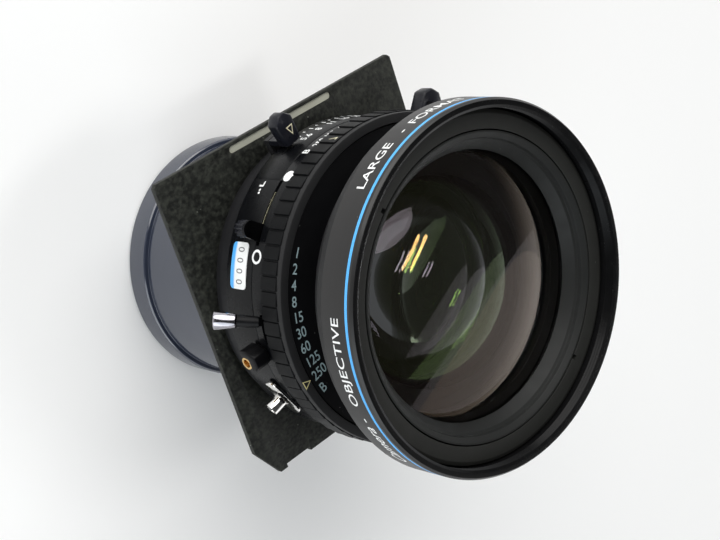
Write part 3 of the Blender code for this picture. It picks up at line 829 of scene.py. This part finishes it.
def build_speed_ring():
    """Each panel of the edge rises a little towards the next groove."""
    pitch, phase, half = KNURL_PITCH, 1.9, 0.42
    panel_end, front_r = RING_TOP - 1.75, RING_R - 0.42
    radii = []
    for i in range(round(360 / pitch)):
        start = phase + i * pitch
        radii.append((start - half, RING_R))
        radii.append((start - half * 0.4, RING_R - 0.55))
        radii.append((start + half * 0.4, RING_R - 0.55))
        for k in range(4):
            share = k / 3
            turn = start + half + (pitch - 2 * half - 0.05) * share
            radii.append((turn, RING_R - 0.24 * (1 - share)))
    bm = bmesh.new()
    columns = []
    for angle, outer in radii:
        profile = [
            (45.5, RING_REAR),
            (outer - 0.15, RING_REAR),
            (outer, RING_REAR + 0.15),
            (outer, panel_end - 0.2),
            (outer - 0.12, panel_end),
            (front_r, panel_end),
            (front_r, RING_TOP - 0.45),
            (front_r - 0.13, RING_TOP - 0.13),
            (front_r - 0.45, RING_TOP),
            (45.6, RING_TOP),
            (45.5, RING_TOP - 0.1),
        ]
        columns.append([bm.verts.new((*point(angle, r), z)) for r, z in profile])
    for near, far in zip(columns, columns[1:] + columns[:1]):
        for i in range(len(near)):
            face = bm.faces.new((near[i - 1], far[i - 1], far[i], near[i]))
            face.material_index = int(i in (0, 6, 7, 8, 9, 10))
    add_piece("speed_ring_knurled", bm, ["panels", "ring_front"], "speed_ring", smooth=28)

    triangle = [(1.5, 0.0), (-1.2, 1.35), (-1.2, -1.35)]
    bm = outline_mark_bmesh(triangle, 0.24)
    lay_on_face(bm, 46.8, 190.4, RING_TOP)
    add_piece("speed_index_front", bm, "gold_ink", "speed_ring", replaces=False)
    bm = outline_mark_bmesh([(0.0, 1.5), (1.2, -1.3), (-1.2, -1.3)], 0.24)
    wrap_round(bm, RING_R - 0.12, 99.8, 84.6)
    add_piece("speed_index_side", bm, "cream_ink", "speed_ring", replaces=False)


SPEEDS = ("1", "2", "4", "8", "15", "30", "60", "125", "250", "B")


def build_speed_marks():
    for i, text in enumerate(SPEEDS):
        bm = text_bmesh(text, 4.3, bold=0.02, stretch=0.82, align="LEFT")
        lay_on_face(bm, 44.0, 143 + SPEED_PITCH * i, FACE_FRONT)
        add_piece(f"face_speed_{text}", bm, "grey_ink", "speed_face_plate", replaces=False)
    for i, text in enumerate(reversed(SPEEDS[:-1])):
        bm = text_bmesh(text, 3.5, bold=0.03, stretch=0.80)
        wrap_round(bm, CASE_R, 98.6 - SPEED_PITCH * i, 76.8)
        add_piece(f"side_speed_{text}", bm, "white_ink", "shutter_case", replaces=False)
    bm = text_bmesh("B", 3.5, bold=0.03)
    wrap_round(bm, CASE_R, 104.2, 75.6)
    add_piece("side_speed_B", bm, "white_ink", "shutter_case", replaces=False)
    bm = sector_bmesh(CASE_R - 0.05, CASE_R + 0.03, 78.3, 78.8, 99.4, 103.5)
    add_piece("speed_red_line", bm, "red_ink", "shutter_case", replaces=False)


def build_aperture_scale():
    plate = add_piece(
        "scale_plate",
        sector_bmesh(CASE_R - 0.4, CASE_R + 0.06, 62.2, SEAM - 0.2, 52, 118, 60),
        "case",
        "aperture_scale_plate",
    )
    bevelled(plate, 0.05, 2)
    surface = CASE_R + 0.06
    under, over = surface - MARK_HALF, surface + MARK_HALF
    for i, text in enumerate(("5.6", "8", "11", "16", "22", "32", "45")):
        angle = 95.6 - APERTURE_PITCH * i
        bm = text_bmesh(text, 3.6, bold=0.03, stretch=0.86)
        wrap_round(bm, surface, angle, 68.6)
        name = f"aperture_{text.replace('.', '_')}"
        add_piece(name, bm, "white_ink", "shutter_case", replaces=False)
        bm = sector_bmesh(under, over, 64.2, 66.0, angle - 0.22, angle + 0.22, 2)
        add_piece(f"aperture_tick_{i + 1}", bm, "white_ink", "shutter_case", replaces=False)
        if i:
            middle = angle + APERTURE_PITCH / 2
            bm = sector_bmesh(under, over, 64.2, 65.2, middle - 0.2, middle + 0.2, 2)
            add_piece(f"aperture_half_tick_{i}", bm, "white_ink", "shutter_case", replaces=False)


def build_case_marks():
    bm = prism_bmesh(circle(1.85), -MARK_HALF, MARK_HALF)
    wrap_round(bm, CASE_R, 116.0, 76.3)
    add_piece("mark_closed", bm, "white_ink", "shutter_case", replaces=False)
    bm = ring_mark_bmesh(2.05, 1.35)
    wrap_round(bm, CASE_R, 146.3, 75.2)
    add_piece("mark_open", bm, "white_ink", "shutter_case", replaces=False)
    corner = [(-0.9, 0.9), (-0.9, -0.9), (0.9, -0.9), (0.9, -0.45), (-0.35, -0.45), (-0.35, 0.9)]
    bm = prism_bmesh(corner, -MARK_HALF, MARK_HALF)
    wrap_round(bm, CASE_R, 120.0, 67.1)
    add_piece("mark_corner", bm, "white_ink", "shutter_case", replaces=False)
    for i, angle in enumerate((122.4, 123.6)):
        bm = prism_bmesh(circle(0.38), -MARK_HALF, MARK_HALF)
        wrap_round(bm, CASE_R, angle, 67.3 + 0.2 * i)
        add_piece(f"mark_dot_{i + 1}", bm, "white_ink", "shutter_case", replaces=False)


def build_slot_spring():
    """The thin brass strip that shows in the slot of the press-focus knob."""
    bm = sector_bmesh(45.7, 46.2, 73.92, 74.12, 122.5, 137.5)
    piece = add_piece("press_focus_strip", bm, "strip", "shutter_case", replaces=False)
    bevelled(piece, 0.06, 2)


def ring_mark_bmesh(outer, inner, steps=40):
    """A flat ring."""
    bm = bmesh.new()
    levels = []
    for radius in (outer, inner):
        for z in (-MARK_HALF, MARK_HALF):
            levels.append([bm.verts.new((x, y, z)) for x, y in circle(radius, steps)])
    order = [levels[0], levels[1], levels[3], levels[2]]
    for side in range(4):
        a, b = order[side], order[(side + 1) % 4]
        for i in range(steps):
            j = (i + 1) % steps
            bm.faces.new((a[i], a[j], b[j], b[i]))
    return bm


def build_knob_mark():
    """The pointer painted on the front of the aperture knob."""
    bm = outline_mark_bmesh([(1.7, 0.0), (-1.2, 1.3), (-1.2, -1.3)], 0.26)
    lay_on_face(bm, 51.8, 100.3, high("aperture_knob"))
    add_piece("aperture_pointer", bm, "cream_ink", "aperture_knob", replaces=False)


def build_label():
    start, end, bottom, top, corner = 141.9, 158.1, 64.4, 71.3, 1.2
    half_u = math.radians(end - start) * CASE_R / 2
    half_v = (top - bottom) / 2
    outline = []
    for x, y, first in ((1, 1, 0), (-1, 1, 90), (-1, -1, 180), (1, -1, 270)):
        centre = (x * (half_u - corner), y * (half_v - corner))
        outline += arc(corner, first, first + 90, 6, centre)
    bm = prism_bmesh(outline, LABEL_UNDER, LABEL_OVER)
    middle = (start + end) / 2
    wrap_round(bm, CASE_R, middle, (bottom + top) / 2)
    MATERIALS["label"] = printed_label("number_label_print", bottom + 1.3, bottom + 2.0)
    add_piece("label", bm, "label", "number_label")
    for i, text in enumerate("0000"):
        bm = text_bmesh(text, 3.9, bold=-0.01, stretch=0.80)
        wrap_round(bm, CASE_R + LABEL_OVER, middle + (1.5 - i) * 3.7, (bottom + top) / 2 + 0.7)
        add_piece(f"label_digit_{i + 1}", bm, "digit_ink", "number_label", replaces=False)


# Rear cell and board.
def build_rear():
    turned(
        "rear_barrel_turned",
        [
            (36.4, 0.0),
            (38.4, 0.0),
            (39.0, 0.6),
            (39.0, 8.1),
            (38.5, 8.6),
            (37.4, 8.6),
            (37.4, 45.2),
            (NECK_R, 45.2),
            (NECK_R, 60.8),
            (NECK_BORE_R, 60.8),
            (NECK_BORE_R, 39.0),
            (27.4, 39.0),
            (27.4, 35.8),
            (33.3, 35.8),
            (33.3, 19.0),
            (35.3, 19.0),
            (35.3, 8.6),
            (36.4, 8.6),
        ],
        "rear",
        "rear_barrel",
        fillet=0.2,
        segments=192,
    )
    turned(
        "rear_ring",
        [(33.0, 4.2), (36.1, 4.2), (36.1, 8.3), (35.0, 8.3), (34.2, 9.2), (33.0, 9.0)],
        "ring_matte",
        "rear_retaining_ring",
        fillet=0.1,
    )
    turned(
        "rear_spacer_turned",
        [(31.0, 18.6), (33.0, 18.9), (33.0, 28.5), (31.0, 28.5)],
        "interior",
        "rear_spacer",
        fillet=0.1,
    )
    ring = turned(
        "mounting_ring_turned",
        [(32.5, 45.6), (36.5, 45.6), (36.5, 49.9), (32.5, 49.9)],
        "base",
        "mounting_ring",
        fillet=0.2,
    )
    cutters = []
    for turn in (0, 90, 180, 270):
        slot = prism_bmesh([(31.0, -1.5), (38.0, -1.5), (38.0, 1.5), (31.0, 1.5)], 44, 47)
        bmesh.ops.rotate(slot, matrix=Matrix.Rotation(math.radians(turn), 3, "Z"), verts=slot.verts)
        cutters.append(slot)
    cut_with(ring, cutters)


def build_board():
    """The board, drawn about the optical axis from its box in the frame."""
    (left, bottom, _), (right, top, _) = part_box("lens_board")
    middle_x = ((left + right) / 2 - AXIS.x) / MM
    half = (right - left) / 2 / MM
    bottom, top = (bottom - AXIS.y) / MM, (top - AXIS.y) / MM
    right_side = [
        (28.9, bottom),
        (28.9, bottom + 1.2),
        (38.7, bottom + 1.2),
        (38.7, bottom),
        (half - 6.4, bottom),
        (half, bottom + 10.2),
        (half, top - 1.0),
        (half - 1.0, top),
    ]
    left_side = [(-x, y) for x, y in reversed(right_side)]
    outline = [(x + middle_x, y) for x, y in right_side + left_side]
    board = add_piece("board", prism_bmesh(outline, BOARD_REAR, BOARD_FRONT), "board", "lens_board")
    groove_y, reach, radius = top - 2.1, 19.5, 1.1
    centre = middle_x + 0.5
    groove = arc(radius, -90, 90, 8, (centre + reach, groove_y))
    groove += arc(radius, 90, 270, 8, (centre - reach, groove_y))
    hole = turned_bmesh(
        [
            (0, 45),
            (37.2, 45),
            (37.2, BOARD_REAR + SEAT_DEPTH),
            (BOARD_HOLE_R, BOARD_REAR + SEAT_DEPTH),
            (BOARD_HOLE_R, BOARD_FRONT - SEAT_DEPTH),
            (43.6, BOARD_FRONT - SEAT_DEPTH),
            (43.6, 57),
            (0, 57),
        ],
        128,
    )
    bmesh.ops.remove_doubles(hole, verts=hole.verts, dist=1e-4)
    cut_with(board, [hole, prism_bmesh(groove, BOARD_FRONT - 0.6, BOARD_FRONT + 2)])
    bevelled(board, 0.22, 2, 50)
    inset = [(centre + (x - centre) * 0.999, groove_y + (y - groove_y) * 0.97) for x, y in groove]
    # The inlay's light matt grey is partly the metal's own tone and partly a painted reflection.
    bm = prism_bmesh(inset, BOARD_FRONT - 0.61, BOARD_FRONT - 0.42)
    add_piece("board_groove_metal", bm, "groove", "lens_board", replaces=False)


# Small parts.
def softened(node, material, width):
    """A CAD piece again, in whole faces instead of triangles and with its edges rounded."""
    bm = bmesh.new()
    bm.from_mesh(frame["nodes"][node].data)
    bm.transform(TO_FRAME.inverted())
    bmesh.ops.remove_doubles(bm, verts=bm.verts, dist=1e-3)
    bmesh.ops.dissolve_limit(bm, angle_limit=math.radians(3), verts=bm.verts[:], edges=bm.edges[:])
    piece = add_piece(f"{node}_rounded", bm, material, node)
    bevelled(piece, width, 3, 40)


def build_small_parts():
    for node, material, width in (
        ("aperture_knob", "knob", 0.35),
        ("cocking_knob", "knob", 0.35),
        ("cable_release_boss", "boss", 0.25),
        ("release_cap", "cap", 0.25),
        ("release_lever", "boss", 0.12),
        ("sync_flange", "chrome", 0.18),
        ("sync_socket", "chrome", 0.15),
        ("cable_release_socket", "brass", 0.12),
    ):
        softened(node, material, width)


def build_press_focus_knob():
    """Bold rounded ribs round a small cylinder."""
    (left, bottom, rear), (right, top, front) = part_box("press_focus_knob")
    centre_x, centre_y = ((left + right) / 2 - AXIS.x) / MM, ((bottom + top) / 2 - AXIS.y) / MM
    ribs, steps, radius, depth = 12, 12, 2.46, 0.26
    outline = []
    for k in range(ribs * steps):
        turn = math.tau * k / (ribs * steps)
        reach = radius - depth * (1 - math.cos(ribs * turn))
        outline.append((centre_x + reach * math.cos(turn), centre_y + reach * math.sin(turn)))
    bm = prism_bmesh(outline, rear / MM, front / MM)
    knob = add_piece("press_focus_knob_ribbed", bm, "knob", "press_focus_knob")
    bevelled(knob, 0.18, 3, 60)


# Materials of the CAD nodes that stay.
def dress_nodes():
    for node, key in {
        "aperture_ring": "base",
        "blade_ring": "blackened",
        "cocking_ring": "blackened",
        "speed_cam": "blackened",
        "blade_separator": "interior",
        "mechanism_plate": "interior",
        "release_post": "steel",
        "sync_contact": "brass",
        "retard_gear_1": "brass",
        "retard_gear_2": "brass",
        **{f"shutter_blade_{i}": "leaf" for i in range(1, 6)},
        **{f"diaphragm_leaf_{i}": "leaf" for i in range(1, 8)},
    }.items():
        mesh = frame["nodes"][node].data
        mesh.materials.clear()
        mesh.materials.append(MATERIALS[key])


# Stage.
def add_area(name, position, target, size, power, colour, along=(0, 0, 1), shape="ELLIPSE"):
    """A soft light that faces the target, with its second side along the given direction."""
    data = bpy.data.lights.new(name, "AREA")
    data.shape = shape
    data.size, data.size_y = size
    data.energy = power
    data.color = colour
    light = bpy.data.objects.new(name, data)
    back = (Vector(position) - Vector(target)).normalized()
    right = Vector(along).cross(back).normalized()
    turn = Matrix((right, back.cross(right), back)).transposed().to_4x4()
    light.matrix_world = Matrix.Translation(position) @ turn
    bpy.context.collection.objects.link(light)


def build_stage():
    bm = bmesh.new()
    bmesh.ops.create_grid(bm, x_segments=40, y_segments=40, size=2.5)
    mesh = bpy.data.meshes.new("floor")
    bm.to_mesh(mesh)
    bm.free()
    floor = bpy.data.objects.new("floor", mesh)
    floor.location.z = -0.0004
    bpy.context.collection.objects.link(floor)
    mesh.materials.append(floor_paper("floor_paper"))

    world = bpy.data.worlds.new("studio")
    world.use_nodes = True
    tree = world.node_tree
    background = tree.nodes["Background"]
    background.inputs["Color"].default_value = (0.97, 0.985, 1.0, 1.0)
    direction = tree.nodes.new("ShaderNodeTexCoord")
    split = tree.nodes.new("ShaderNodeSeparateXYZ")
    fade = tree.nodes.new("ShaderNodeMapRange")
    fade.interpolation_type = "SMOOTHSTEP"
    low_sky, high_sky, bright, dim = 0.25, 0.52, 1.25, 0.07
    for socket, number in (
        ("From Min", low_sky),
        ("From Max", high_sky),
        ("To Min", bright),
        ("To Max", dim),
    ):
        fade.inputs[socket].default_value = number
    tree.links.new(direction.outputs["Generated"], split.inputs["Vector"])
    tree.links.new(split.outputs["Z"], fade.inputs["Value"])
    tree.links.new(fade.outputs["Result"], background.inputs["Strength"])
    bpy.context.scene.world = world
    middle = (0.0, 0.0, 0.05)
    for name, position, size, power, colour in (
        ("window", (0.0, 1.5, 1.15), (2.6, 2.0), 43.0, (1.0, 0.99, 0.975)),
        ("fill", (-1.5, -0.8, 0.95), (2.0, 1.6), 17.5, (0.90, 0.96, 1.0)),
        ("glass_light", (0.85, -1.3, 0.8), (2.0, 1.4), 4.0, (1.0, 0.99, 0.97)),
    ):
        add_area(name, position, middle, size, power, colour)
    front_glass = (-0.015, 0.018, 0.115)
    strip_along = (0.183, 0.110, -0.049)
    for i, position in enumerate(((0.255, -0.004, 1.075), (0.296, -0.029, 1.059))):
        add_area(
            f"strip_{i + 1}",
            position,
            front_glass,
            (0.020, 0.22),
            0.62,
            (1.0, 1.0, 1.0),
            strip_along,
            "RECTANGLE",
        )


def build_camera():
    data = bpy.data.cameras.new("camera")
    data.lens, data.sensor_width = 78.66, 36.0
    data.clip_start = 0.01
    camera = bpy.data.objects.new("camera", data)
    right = Vector((0.69202, -0.29597, 0.65841))
    up = Vector((0.46159, 0.88268, -0.08837))
    back = Vector((-0.55501, 0.36507, 0.74745))
    place = Vector((-0.25939, 0.17075, 0.41864))
    turn = Matrix((right, up, back)).transposed().to_4x4()
    camera.matrix_world = Matrix.Translation(place) @ turn
    bpy.context.collection.objects.link(camera)
    bpy.context.scene.camera = camera


bpy.context.scene.view_settings.view_transform = "Standard"
build_camera()
build_stage()
build_rim()
build_front_rings()
build_elements()
build_case()
build_speed_ring()
build_speed_marks()
build_aperture_scale()
build_case_marks()
build_slot_spring()
build_knob_mark()
build_label()
build_rear()
build_board()
build_small_parts()
build_press_focus_knob()
dress_nodes()
